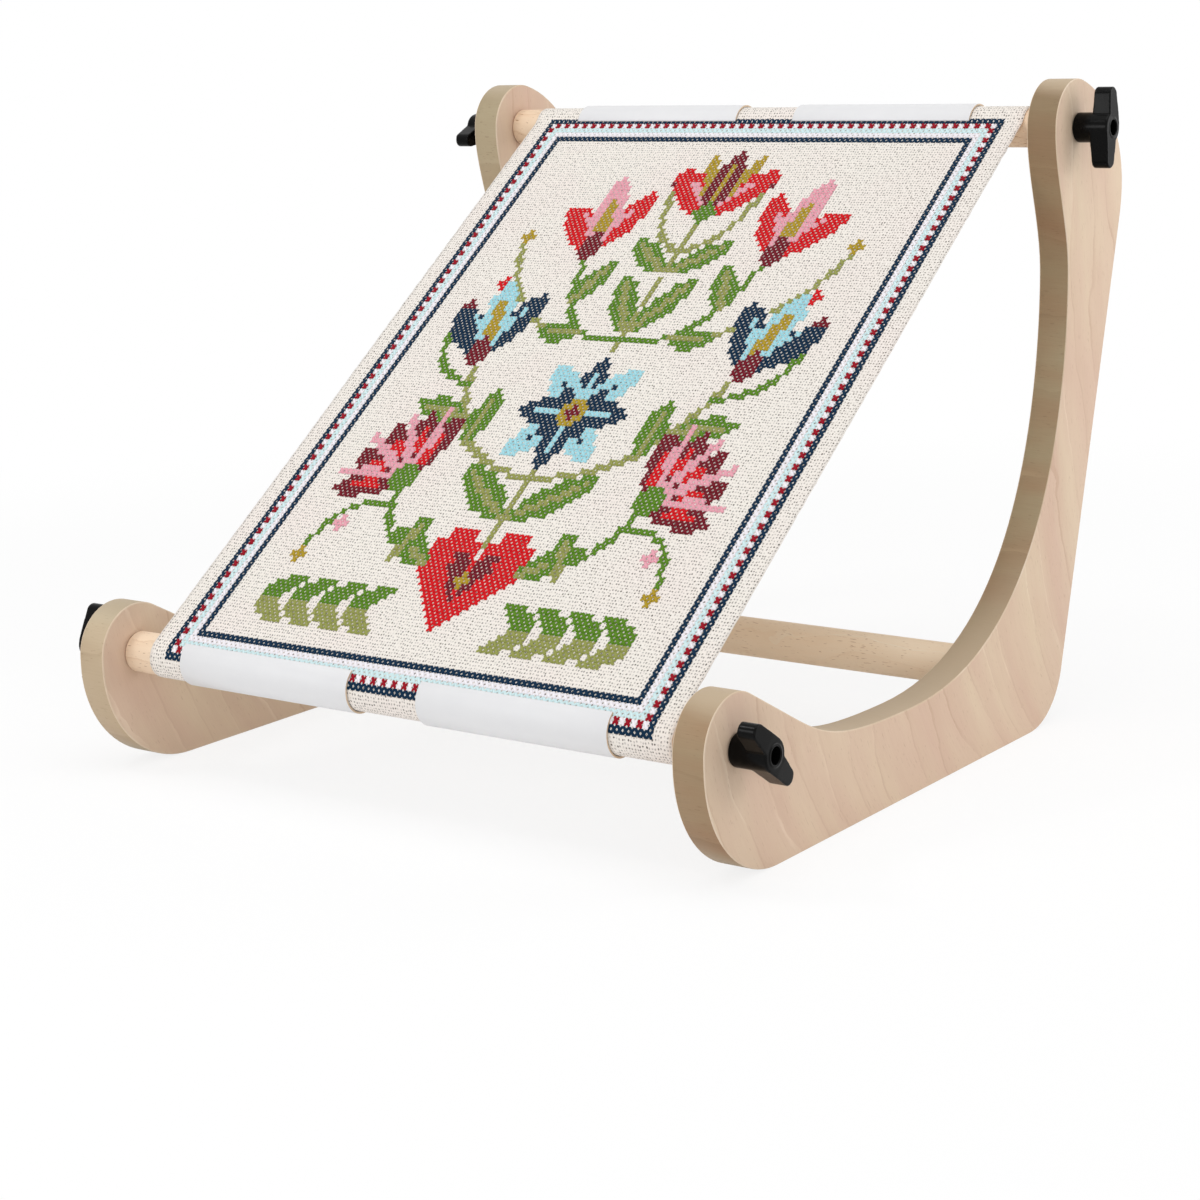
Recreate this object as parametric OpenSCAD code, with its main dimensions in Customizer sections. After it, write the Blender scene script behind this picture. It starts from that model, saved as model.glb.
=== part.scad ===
// Tabletop scroll frame for embroidery.
// Two swept beech side panels carry two turning rollers and a fixed stretcher.
// Each roller ends in threaded studs that wing knobs clamp against the panels,
// and snap-on clips hold a stretched cloth on the rollers.
// X runs along the rollers, Y runs from front to back and Z runs up from the table.

/* [Stand] */
// Clear width between the two side panels
inner_w = 364; // [340:2:440]
// Thickness of a side panel
panel_t = 17.5; // [15:0.5:22]
// Height of the front roller's axis above the table
front_axis_z = 64; // [60:1:72]
// Distance from the front roller's axis back to the top roller's axis
roller_run = 354; // [344:1:366]
// Height of the top roller's axis above the front roller's axis
roller_rise = 262.4; // [250:0.2:290]

/* [Side panel outline] */
// Radius of the panel's round head about each roller
head_r = 26.5; // [25:0.5:28]
// Radius of the rounded toe under the front head
toe_r = 60; // [40:1:60]
// Slope of the straight ramp behind the front head, in degrees below level
ramp_angle = 28.6; // [26:0.2:31]
// Length of that ramp
ramp_len = 38.2; // [32:0.2:48]
// Height of the foot rail at its lowest place
rail_h = 45.3; // [40:0.1:50]
// Distance from the toe back to the rail's lowest place
rail_y = 189.4; // [176:0.2:200]
// Distance from the toe back to the hollow front edge of the stem
stem_y = 369; // [362:0.5:376]
// Height at which the stem's front edge runs straight up
stem_z = 250; // [235:1:265]
// Angle of the straight back edge from level, in degrees
back_lean = 73; // [71:0.5:75]
// Distance from the toe back to where the back edge would meet the table
heel_y = 351; // [340:1:360]
// Radius of the rounded heel
heel_r = 40; // [25:1:50]
// Height at which the straight back edge turns into the shoulder
shoulder_z = 274.5; // [262:0.5:280]

/* [Dowels] */
// Diameter of the two rollers
roller_d = 22; // [20:0.5:25]
// Gap between a roller's end and the panel beside it
roller_play = 0.3; // [0.2:0.05:0.5]
// Chamfer on the ends of every dowel
dowel_chamfer = 0.8; // [0.4:0.1:1.5]
// Diameter of the fixed stretcher
stretcher_d = 22; // [18:0.5:24]
// Depth of the blind sockets that hold the stretcher
socket_depth = 10; // [7:0.5:12]
// Space left between the stretcher's end and its socket's floor
socket_floor_gap = 0.4; // [0.2:0.1:0.8]
// Distance from the toe back to the stretcher's axis
stretcher_y = 279; // [270:1:286]
// Height of the stretcher's axis
stretcher_z = 45; // [38:1:48]

/* [Studs and wing knobs] */
// Diameter of the threaded studs
stud_d = 6; // [5:0.5:8]
// Length of a stud screwed into the roller
stud_in = 27; // [15:1:35]
// Length of a stud standing out of the roller's end
stud_out = 28; // [25:0.5:30]
// Chamfer on a stud's ends
stud_chamfer = 0.7; // [0.3:0.1:1]
// Length of a knob along the stud
knob_len = 20.6; // [18:0.2:25]
// Diameter of a knob's hub
hub_d = 16.4; // [14:0.2:19]
// Distance over the tips of a knob's two wings
wing_span = 44; // [38:1:52]
// Thickness of the wings along the stud
wing_t = 10.5; // [7:0.5:12]
// Width of a wing at its tip
wing_tip_w = 8.4; // [6:0.2:10]
// Distance that each wing's tip is set off the knob's centre line
wing_offset = 0.2; // [-1:0.1:2]
// Distance from the knob's centre line to each wing's stepped flank at the hub
wing_step = 4.6; // [2:0.1:7]
// Diameter of the hole in a knob's outer face
knob_hole_d = 8.4; // [7.4:0.1:8.6]
// Width of the raised rim round that hole
knob_rim = 1.2; // [0.8:0.1:2]
// Height of the rim
knob_rim_h = 0.4; // [0.2:0.1:0.8]
// Chamfer on the ends of a knob's hub
hub_chamfer = 0.6; // [0.3:0.1:1.2]
// Outer diameter of the brass insert in a knob
insert_d = 9; // [8.8:0.1:10.5]
// Length of that insert
insert_len = 11; // [8:0.5:12]
// Turned angle of the front right knob's wings
front_right_wing = 132; // [0:1:180]
// Turned angle of the front left knob's wings
front_left_wing = 80; // [0:1:180]
// Turned angle of the top right knob's wings
top_right_wing = 84; // [0:1:180]
// Turned angle of the top left knob's wings
top_left_wing = 24; // [0:1:180]

/* [Cloth] */
// Width of the cloth along the rollers
cloth_w = 334; // [260:2:338]
// Distance that the cloth lies to the right of the middle
cloth_shift = 5; // [-8:1:8]
// Thickness of the cloth
cloth_t = 0.5; // [0.4:0.1:0.8]
// Angle that the cloth wraps round the front roller
front_wrap = 172; // [120:2:190]
// Angle that the cloth wraps round the top roller
top_wrap = 216; // [150:2:220]
// Angle on the top roller at which the cloth leaves it
top_leave = 160; // [140:1:165]

/* [Clips] */
// Length of a clip along its roller
clip_len = 115; // [90:1:125]
// Wall thickness of a clip
clip_wall = 1.1; // [0.8:0.1:2]
// Angle that a clip reaches round its roller
clip_wrap = 235; // [220:1:240]
// Space between the two clips on the front roller
front_clip_space = 45; // [30:1:60]
// Middle of the front clips, to the right of the stand's middle
front_clip_mid = -1; // [-6:1:6]
// Space between the two clips on the top roller
top_clip_space = 39; // [30:1:60]
// Middle of the top clips, to the right of the stand's middle
top_clip_mid = 5; // [-6:1:6]

/* [Clearances] */
// Gap between the cloth and what it lies on or under
soft_gap = 0.3; // [0.2:0.05:0.4]
// Radial gap round a stud in its thread
thread_gap = 0.05; // [0.02:0.01:0.1]
// Radial gap round a stud in its panel
stud_hole_gap = 0.1; // [0.05:0.01:0.3]
// Radial gap round the stretcher in its socket
socket_gap = 0.05; // [0.02:0.01:0.1]
// Gap between a knob and the panel that it clamps
knob_gap = 0.3; // [0.2:0.05:0.5]
// Gap round the brass insert in its knob
insert_gap = 0.05; // [0.02:0.01:0.1]

/* [Hidden] */

$fn = 72;
LEFT = -1;
RIGHT = 1;
overcut = 1;

beech = [0.86, 0.75, 0.64];
beech_dowel = [0.90, 0.78, 0.64];
black_plastic = [0.07, 0.07, 0.08];
white_plastic = [0.94, 0.94, 0.94];
brass = [0.78, 0.64, 0.36];
linen = [0.91, 0.88, 0.83];

function dir(a) = [cos(a), sin(a)];
function arc(c, r, from, to, n) =
    [for (i = [0:n]) c + r * dir(from + (to - from) * i / n)];
function bezier(a, b, c, d, n) =
    [for (i = [0:n]) let (t = i / n, s = 1 - t)
        s * s * s * a + 3 * s * s * t * b + 3 * s * t * t * c + t * t * t * d];

// The outline is drawn in the Y-Z plane, clockwise from the toe, which is at Y = 0 here.
toe_round = min(toe_r, front_axis_z);
front_head = [head_r, front_axis_z];
top_head = [head_r + roller_run, front_axis_z + roller_rise];
ramp_top = front_head + head_r * dir(90 - ramp_angle);
ramp_foot = ramp_top + ramp_len * dir(-ramp_angle);
rail_low = [rail_y, rail_h];
stem_hollow = [stem_y, stem_z];
neck_turn = 6;
neck = top_head + head_r * dir(180 - neck_turn);
shoulder_turn = 75;
shoulder_top = top_head + head_r * dir(shoulder_turn);
shoulder_foot = [heel_y + shoulder_z / tan(back_lean), shoulder_z];
heel_centre = [heel_y - heel_r * tan(back_lean / 2), heel_r];

// How far each curve's control points reach along its tangents
valley_reach = 0.3 * (rail_low.x - ramp_foot.x);
valley_soft = 0.63 * (rail_low.x - ramp_foot.x);
sweep_reach = 0.914 * (stem_hollow.x - rail_low.x);
stem_reach = 0.209 * (stem_hollow.y - rail_low.y);
neck_reach = 0.3 * (neck.y - stem_hollow.y);
neck_soft = 26;
shoulder_reach = 0.4 * (shoulder_top.y - shoulder_foot.y);
back_reach = 0.56 * (shoulder_top.y - shoulder_foot.y);

raw_outline = concat(
    arc([toe_round, toe_round], toe_round, 270, 180, 22),
    arc(front_head, head_r, 180, 90 - ramp_angle, 26),
    bezier(ramp_foot, ramp_foot + valley_reach * dir(-ramp_angle),
        rail_low - [valley_soft, 0], rail_low, 16),
    bezier(rail_low, rail_low + [sweep_reach, 0],
        stem_hollow - [0, stem_reach], stem_hollow, 44),
    bezier(stem_hollow, stem_hollow + [0, neck_soft],
        neck - neck_reach * dir(90 - neck_turn), neck, 12),
    arc(top_head, head_r, 180 - neck_turn, shoulder_turn, 24),
    bezier(shoulder_top, shoulder_top + shoulder_reach * dir(shoulder_turn - 90),
        shoulder_foot + back_reach * dir(back_lean), shoulder_foot, 16),
    arc(heel_centre, heel_r, back_lean - 90, -90, 16)
);
// The same outline without the points that two curves share
panel_outline = [for (i = [0:len(raw_outline) - 1])
    if (i == 0 || norm(raw_outline[i] - raw_outline[i - 1]) > 0.01) raw_outline[i]];

// The stand's middle, so that the finished part stands centred on the origin
outline_y = [for (p = panel_outline) p.x];
mid_y = (min(outline_y) + max(outline_y)) / 2;
function centred(p) = p - [mid_y, 0];
front_axis = centred(front_head);
top_axis = centred(top_head);
stretcher_axis = centred([stretcher_y, stretcher_z]);

panel_in = inner_w / 2;
panel_out = panel_in + panel_t;
roller_half = panel_in - roller_play;
roller_r = roller_d / 2;
stretcher_r = stretcher_d / 2;
stretcher_half = panel_in + socket_depth - socket_floor_gap;
stud_r = stud_d / 2;
hub_r = hub_d / 2;
insert_r = insert_d / 2;
knob_foot = panel_out + knob_gap;

// Radii of the cloth and the clips about a roller's axis
cloth_in = roller_r + soft_gap;
cloth_mid = cloth_in + cloth_t / 2;
cloth_out = cloth_in + cloth_t;
clip_in = cloth_out + soft_gap;
clip_mid = clip_in + clip_wall / 2;
clip_out = clip_in + clip_wall;

// The cloth's straight run leaves the front roller as a tangent.
cloth_top = top_axis + cloth_mid * dir(top_leave);
span_line = cloth_top - front_axis;
span_angle = atan2(span_line.y, span_line.x) - asin(cloth_mid / norm(span_line));
front_leave = span_angle + 90;
cloth_foot = front_axis + cloth_mid * dir(front_leave);

// A clip's near edge stops soft_gap short of the run that leaves its roller.
function edge_angle(leave) = front_leave + acos(
    (cloth_mid * cos(leave - front_leave) + cloth_t / 2 + clip_wall / 2 + soft_gap)
    / clip_mid);
front_clip_edge = edge_angle(front_leave);
top_clip_edge = edge_angle(top_leave);

// Draws a flat shape in the Y-Z plane and gives it a width along X
module side_extrude(x, width) {
    translate([x, 0, 0])
        rotate([90, 0, 90])
            linear_extrude(width)
                children();
}

// Turns a child that is built up along Z so that it points out of one side of the stand
module outward(side, axis, x) {
    translate([side * x, axis.x, axis.y])
        rotate([0, 0, side == RIGHT ? 0 : 180])
            rotate([90, 0, 90])
                children();
}

// A round bar with chamfered ends, built up along Z from 0
module chamfered_bar(r, length, chamfer) {
    rotate_extrude()
        polygon([
            [0, 0], [r - chamfer, 0], [r, chamfer],
            [r, length - chamfer], [r - chamfer, length], [0, length]
        ]);
}

// A band of a ring between two angles, with square ends
module ring_band(r_in, r_out, from, to) {
    steps = ceil(abs(to - from) / 5);
    intersection() {
        difference() {
            circle(r_out);
            circle(r_in);
        }
        polygon(concat([[0, 0]], arc([0, 0], 2 * r_out, from, to, steps)));
    }
}

// One swept side panel, drilled for the studs and with a blind socket for the stretcher
module side_panel(side) {
    x = side == RIGHT ? panel_in : -panel_out;
    color(beech)
        difference() {
            side_extrude(x, panel_t)
                polygon([for (p = panel_outline) centred(p)]);
            for (axis = [front_axis, top_axis])
                outward(side, axis, panel_in - overcut)
                    cylinder(r = stud_r + stud_hole_gap, h = panel_t + 2 * overcut);
            outward(side, stretcher_axis, panel_in - overcut)
                cylinder(r = stretcher_r + socket_gap, h = socket_depth + overcut);
        }
}

// The fixed rear dowel, whose ends sit in the panels' sockets
module stretcher() {
    color(beech_dowel)
        outward(RIGHT, stretcher_axis, -stretcher_half)
            chamfered_bar(stretcher_r, 2 * stretcher_half, dowel_chamfer);
}

// A turning roller, bored at both ends for its studs
module roller(axis) {
    color(beech_dowel)
        difference() {
            outward(RIGHT, axis, -roller_half)
                chamfered_bar(roller_r, 2 * roller_half, dowel_chamfer);
            for (side = [LEFT, RIGHT])
                outward(side, axis, roller_half - stud_in)
                    cylinder(r = stud_r + thread_gap, h = stud_in + overcut);
        }
}

// A threaded rod that stands half in the roller and half in the knob
module stud(side, axis) {
    color(brass)
        outward(side, axis, roller_half - stud_in)
            chamfered_bar(stud_r, stud_in + stud_out, stud_chamfer);
}

// One wing of a knob seen along the stud: its clockwise flank is tangent to the hub
// and to the round tip, and the other flank is stepped in.
module wing_half() {
    tip_r = wing_tip_w / 2;
    tip = [wing_span / 2 - tip_r, wing_offset];
    flank = dir(atan2(tip.y, tip.x) - acos((hub_r - tip_r) / norm(tip)));
    polygon([hub_r * flank, tip + tip_r * flank, tip + [0, tip_r], [0, wing_step]]);
    translate(tip)
        circle(tip_r);
}

// A knob's side view, which thins the wings a little towards their tips
module wing_side() {
    half = wing_span / 2 + overcut;
    foot = knob_len - wing_t;
    taper = 0.05 * wing_t;
    crown = 0.07 * wing_t;
    polygon([
        [-half, foot + taper], [-hub_r, foot], [hub_r, foot], [half, foot + taper],
        [half, knob_len - crown], [hub_r, knob_len], [-hub_r, knob_len],
        [-half, knob_len - crown]
    ]);
}

// A moulded wing knob, built up along Z from its clamping face
module wing_knob(side, axis, wing_angle) {
    turn = side == RIGHT ? wing_angle : 180 - wing_angle;
    color(black_plastic)
        outward(side, axis, knob_foot)
            rotate(turn)
                difference() {
                    union() {
                        chamfered_bar(hub_r, knob_len, hub_chamfer);
                        intersection() {
                            translate([0, 0, knob_len - wing_t])
                                linear_extrude(wing_t)
                                    for (half = [0, 180])
                                        rotate(half)
                                            wing_half();
                            rotate([90, 0, 0])
                                translate([0, 0, -wing_span])
                                    linear_extrude(2 * wing_span)
                                        wing_side();
                        }
                        cylinder(r = knob_hole_d / 2 + knob_rim, h = knob_len + knob_rim_h);
                    }
                    translate([0, 0, -overcut])
                        cylinder(r = insert_r + insert_gap,
                            h = insert_len + 2 * insert_gap + overcut);
                    cylinder(r = knob_hole_d / 2, h = knob_len + knob_rim_h + overcut);
                }
}

// The brass bush moulded into a knob, tapped for the stud
module insert(side, axis) {
    color(brass)
        outward(side, axis, knob_foot + insert_gap)
            difference() {
                chamfered_bar(insert_r, insert_len, stud_chamfer / 2);
                translate([0, 0, -overcut])
                    cylinder(r = stud_r + thread_gap, h = insert_len + 2 * overcut);
            }
}

// A snap-on clip: a split tube with rounded edges.
// It runs from its near edge round the roller, with the sign of reach.
module clip(axis, x_mid, edge, reach) {
    color(white_plastic)
        side_extrude(x_mid - clip_len / 2, clip_len)
            translate(axis) {
                ring_band(clip_in, clip_out, edge, edge + reach);
                for (a = [edge, edge + reach])
                    translate(clip_mid * dir(a))
                        circle(clip_wall / 2);
            }
}

// The stretched cloth: one sheet from round the front roller to round the top roller
module cloth() {
    run = cloth_top - cloth_foot;
    color(linen)
        side_extrude(cloth_shift - cloth_w / 2, cloth_w) {
            translate(front_axis)
                ring_band(cloth_in, cloth_out, front_leave, front_leave + front_wrap);
            translate(top_axis)
                ring_band(cloth_in, cloth_out, top_leave, top_leave - top_wrap);
            translate(cloth_foot)
                rotate(span_angle)
                    translate([0, -cloth_t / 2])
                        square([norm(run), cloth_t]);
            translate(cloth_top)
                circle(cloth_t / 2);
        }
}

front_clip_x = (front_clip_space + clip_len) / 2;
top_clip_x = (top_clip_space + clip_len) / 2;

side_panel(LEFT);  // left_side_panel
side_panel(RIGHT);  // right_side_panel
stretcher();
roller(front_axis);  // front_roller
roller(top_axis);  // top_roller
stud(LEFT, front_axis);  // front_left_stud
stud(RIGHT, front_axis);  // front_right_stud
stud(LEFT, top_axis);  // top_left_stud
stud(RIGHT, top_axis);  // top_right_stud
wing_knob(LEFT, front_axis, front_left_wing);  // front_left_knob
wing_knob(RIGHT, front_axis, front_right_wing);  // front_right_knob
wing_knob(LEFT, top_axis, top_left_wing);  // top_left_knob
wing_knob(RIGHT, top_axis, top_right_wing);  // top_right_knob
insert(LEFT, front_axis);  // front_left_insert
insert(RIGHT, front_axis);  // front_right_insert
insert(LEFT, top_axis);  // top_left_insert
insert(RIGHT, top_axis);  // top_right_insert
clip(front_axis, front_clip_mid - front_clip_x, front_clip_edge, clip_wrap);  // front_left_clip
clip(front_axis, front_clip_mid + front_clip_x, front_clip_edge, clip_wrap);  // front_right_clip
clip(top_axis, top_clip_mid - top_clip_x, top_clip_edge, -clip_wrap);  // top_left_clip
clip(top_axis, top_clip_mid + top_clip_x, top_clip_edge, -clip_wrap);  // top_right_clip
cloth();
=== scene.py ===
"""The looks of a tabletop scroll frame for embroidery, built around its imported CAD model."""

import math

import bmesh
import bpy
from mathutils import Matrix, Vector, noise


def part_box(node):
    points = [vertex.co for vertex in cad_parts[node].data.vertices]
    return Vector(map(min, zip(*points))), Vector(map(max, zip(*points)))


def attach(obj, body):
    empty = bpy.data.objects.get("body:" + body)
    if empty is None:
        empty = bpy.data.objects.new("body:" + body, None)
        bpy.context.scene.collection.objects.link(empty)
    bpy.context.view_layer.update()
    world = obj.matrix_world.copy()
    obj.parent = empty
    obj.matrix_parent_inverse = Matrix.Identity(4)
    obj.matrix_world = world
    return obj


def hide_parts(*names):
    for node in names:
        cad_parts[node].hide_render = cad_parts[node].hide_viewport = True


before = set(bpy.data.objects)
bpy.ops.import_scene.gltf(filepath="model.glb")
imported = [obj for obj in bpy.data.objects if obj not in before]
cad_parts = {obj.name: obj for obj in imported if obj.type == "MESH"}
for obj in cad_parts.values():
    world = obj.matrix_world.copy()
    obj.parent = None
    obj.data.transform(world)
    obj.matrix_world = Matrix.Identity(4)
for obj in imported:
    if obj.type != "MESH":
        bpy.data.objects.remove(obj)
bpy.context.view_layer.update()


# Camera: a long lens a little above the top of the stand and ahead of its front right corner.
# It looks at the middle of the cloth, and the lens is raised a little.
camera = bpy.data.objects.new("camera", bpy.data.cameras.new("camera"))
camera.location = (0.82406, -1.15125, 0.39183)
camera.rotation_euler = (math.radians(80.950), math.radians(1.6515), math.radians(35.7023))
camera.data.lens = 78.18
camera.data.shift_y = -0.1375
bpy.context.scene.collection.objects.link(camera)
bpy.context.scene.camera = camera


# Side panels: two swept boards of solid beech, sawn from one plank and sanded. The arrises are
# eased with sandpaper, and the sawn edges are browner than the faces.
def linear(hex_code):
    """Turns an sRGB hex colour into the linear numbers that a shader takes."""
    parts = [int(hex_code[i:i + 2], 16) / 255 for i in (1, 3, 5)]
    return [p / 12.92 if p <= 0.04045 else ((p + 0.055) / 1.055) ** 2.4 for p in parts] + [1]


def add(tree, kind, inputs, **settings):
    """Adds a node: a socket among its inputs is linked, and any other value is set."""
    made = tree.nodes.new(kind)
    for name, value in settings.items():
        setattr(made, name, value)
    for socket, value in inputs.items():
        if isinstance(value, bpy.types.NodeSocket):
            tree.links.new(value, made.inputs[socket])
        else:
            made.inputs[socket].default_value = value
    return made


def start_material(name, coordinates="Object"):
    """A new material with its node tree, its shader and the coordinates that it reads."""
    made = bpy.data.materials.new(name)
    made.use_nodes = True
    tree = made.node_tree
    where = add(tree, "ShaderNodeTexCoord", {}).outputs[coordinates]
    return made, tree, tree.nodes["Principled BSDF"], where


# A wave texture of scale 1 has its bands this far apart, in the unit of the map that it reads.
wave_step = 0.314


def beech(name, tones, ring, fleck, band_mm, ring_strength, fleck_strength, lie=(0, 0, 0),
          sweep=0):
    """Beech: a close pale wood with faint uneven growth lines, band_mm apart, and short dark ray
    flecks, 3 to 4 mm long and 0.6 mm wide. Lie turns the grain until it runs along X, and sweep
    is how far in metres the grain has bent away where X is 0."""
    made, tree, shader, where = start_material(name)
    turned = add(tree, "ShaderNodeMapping", {"Vector": where, "Rotation": lie})
    # The rings spread as the tree widened, so the lines fan out a little. They bend near the
    # root, where the sweep dies away over about 80 mm. They wander slowly, over 140 mm along the
    # board and 50 mm across it.
    part = add(tree, "ShaderNodeSeparateXYZ", {"Vector": turned.outputs[0]})
    fan = add(tree, "ShaderNodeMath", {0: part.outputs["X"], 1: part.outputs["Z"]},
              operation="MULTIPLY")
    fanned = add(tree, "ShaderNodeMath", {0: fan.outputs[0], 1: 0.3, 2: part.outputs["Z"]},
                 operation="MULTIPLY_ADD")
    height = add(tree, "ShaderNodeMath", {0: part.outputs["X"], 1: -12.5}, operation="MULTIPLY")
    root = add(tree, "ShaderNodeMath", {0: height.outputs[0]}, operation="EXPONENT")
    spread = add(tree, "ShaderNodeMath", {0: root.outputs[0], 1: sweep, 2: fanned.outputs[0]},
                 operation="MULTIPLY_ADD")
    grain = add(tree, "ShaderNodeCombineXYZ", {"X": part.outputs["X"], "Y": part.outputs["Y"],
                                               "Z": spread.outputs[0]})
    slow = add(tree, "ShaderNodeMapping", {"Vector": grain.outputs[0], "Scale": (7, 20, 20)})
    drift = add(tree, "ShaderNodeTexNoise", {"Vector": slow.outputs[0], "Scale": 1, "Detail": 3})
    pushed = add(tree, "ShaderNodeVectorMath",
                 {0: drift.outputs["Color"], 1: (0, 0.05, 0.05), 2: grain.outputs[0]},
                 operation="MULTIPLY_ADD")
    bands = add(tree, "ShaderNodeTexWave",
                {"Vector": pushed.outputs[0], "Scale": 1000 * wave_step / band_mm,
                 "Distortion": 1.1, "Detail": 4, "Detail Scale": 3, "Detail Roughness": 0.6},
                bands_direction="Z", wave_profile="SAW")
    # Late wood darkens slowly and ends in a soft line, where the next year's growth starts. Some
    # years leave hardly any line, and each line fades and comes back about every 70 mm.
    late = add(tree, "ShaderNodeMapRange",
               {"Value": bands.outputs["Fac"], "From Min": 0.3, "From Max": 0.95,
                "To Min": 0, "To Max": 0.3}, interpolation_type="SMOOTHSTEP")
    line = add(tree, "ShaderNodeMapRange",
               {"Value": bands.outputs["Fac"], "From Min": 0.88, "From Max": 0.97},
               interpolation_type="SMOOTHSTEP")
    edge = add(tree, "ShaderNodeMath", {0: late.outputs[0], 1: line.outputs[0]},
               operation="MAXIMUM")
    years = add(tree, "ShaderNodeMapping", {"Vector": pushed.outputs[0], "Scale": (14, 55, 55)})
    year = add(tree, "ShaderNodeTexNoise", {"Vector": years.outputs[0], "Scale": 1, "Detail": 2})
    plain = add(tree, "ShaderNodeMapRange", {"Value": year.outputs["Fac"], "From Min": 0.40,
                                             "From Max": 0.66, "To Min": ring_strength * 0.08,
                                             "To Max": ring_strength})
    ringing = add(tree, "ShaderNodeMath", {0: edge.outputs[0], 1: plain.outputs[0]},
                  operation="MULTIPLY")
    # The board's own tone drifts in streaks 110 mm long and 33 mm wide.
    broad = add(tree, "ShaderNodeMapping", {"Vector": grain.outputs[0], "Scale": (9, 30, 30)})
    tone = add(tree, "ShaderNodeTexNoise", {"Vector": broad.outputs[0], "Scale": 1, "Detail": 3})
    even = add(tree, "ShaderNodeMapRange", {"Value": tone.outputs["Fac"], "From Min": 0.3,
                                            "From Max": 0.7})
    mixed = add(tree, "ShaderNodeMix", {0: even.outputs[0], 6: linear(tones[0]),
                                        7: linear(tones[1])}, data_type="RGBA")
    ringed = add(tree, "ShaderNodeMix", {0: ringing.outputs[0], 6: mixed.outputs[2],
                                         7: linear(ring)}, data_type="RGBA")
    # Other years start with a thin pale line of early wood instead.
    early = add(tree, "ShaderNodeMapRange",
                {"Value": bands.outputs["Fac"], "From Min": 0.01, "From Max": 0.1, "To Min": 1,
                 "To Max": 0}, interpolation_type="SMOOTHSTEP")
    spare = add(tree, "ShaderNodeMapRange", {"Value": year.outputs["Fac"], "From Min": 0.34,
                                             "From Max": 0.5, "To Min": ring_strength * 0.7,
                                             "To Max": 0})
    paling = add(tree, "ShaderNodeMath", {0: early.outputs[0], 1: spare.outputs[0]},
                 operation="MULTIPLY")
    paled = add(tree, "ShaderNodeMix", {0: paling.outputs[0], 6: ringed.outputs[2],
                                        7: (1, 1, 1, 1)}, data_type="RGBA",
                blend_type="SOFT_LIGHT")
    # The ray flecks stand closer together in patches of about 20 mm.
    short = add(tree, "ShaderNodeMapping", {"Vector": grain.outputs[0],
                                            "Scale": (260, 1500, 1500)})
    rays = add(tree, "ShaderNodeTexNoise", {"Vector": short.outputs[0], "Scale": 1, "Detail": 1,
                                            "Roughness": 0.3})
    patch = add(tree, "ShaderNodeTexNoise", {"Vector": grain.outputs[0], "Scale": 45})
    sparse = add(tree, "ShaderNodeMath", {0: patch.outputs["Fac"], 1: 0.2, 2: rays.outputs["Fac"]},
                 operation="MULTIPLY_ADD")
    marks = add(tree, "ShaderNodeMapRange",
                {"Value": sparse.outputs[0], "From Min": 0.79, "From Max": 0.85,
                 "To Min": 0, "To Max": fleck_strength})
    flecked = add(tree, "ShaderNodeMix", {0: marks.outputs[0], 6: paled.outputs[2],
                                          7: linear(fleck)}, data_type="RGBA")
    # Sanded fibres are too fine to show, so they are drawn 14 mm long and 0.6 mm wide.
    long = add(tree, "ShaderNodeMapping", {"Vector": grain.outputs[0],
                                           "Scale": (70, 1700, 1700)})
    fibre = add(tree, "ShaderNodeTexNoise", {"Vector": long.outputs[0], "Scale": 1, "Detail": 2})
    grey = add(tree, "ShaderNodeRGBToBW", {"Color": fibre.outputs["Color"]})
    fibred = add(tree, "ShaderNodeMix", {0: 0.16, 6: flecked.outputs[2], 7: grey.outputs[0]},
                 data_type="RGBA", blend_type="SOFT_LIGHT")
    tree.links.new(fibred.outputs[2], shader.inputs["Base Color"])
    sanded = add(tree, "ShaderNodeMapRange", {"Value": fibre.outputs["Fac"], "To Min": 0.50,
                                              "To Max": 0.68})
    tree.links.new(sanded.outputs[0], shader.inputs["Roughness"])
    open_pores = add(tree, "ShaderNodeMath", {0: marks.outputs[0], 1: -0.8,
                                              2: fibre.outputs["Fac"]}, operation="MULTIPLY_ADD")
    raised = add(tree, "ShaderNodeBump", {"Height": open_pores.outputs[0], "Strength": 0.3,
                                          "Distance": 0.0001})
    tree.links.new(raised.outputs[0], shader.inputs["Normal"])
    shader.inputs["IOR"].default_value = 1.5
    shader.inputs["Specular IOR Level"].default_value = 0.35
    return made


# The grain stands upright in each panel and sweeps back by 64 mm in the foot. The edges are
# browner than the faces, with painted shade that darkens them towards the head. The arris is
# freshly sanded.
panel_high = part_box("left_side_panel")[1].z
upright = (math.radians(-92), 0, math.radians(-90))
foot_sweep = 0.064
panel_face = beech("Beech, flat-sawn and sanded", ("#d9c3a8", "#d1b29d"), "#b8937a", "#a07c5c",
                   25, 0.45, 0.3, upright, foot_sweep)
panel_arris = beech("Beech, sanded arris", ("#e2cfb9", "#cdb498"), "#b89a7b", "#9c7a5b", 25, 0.3,
                    0.2, upright, foot_sweep)


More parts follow.
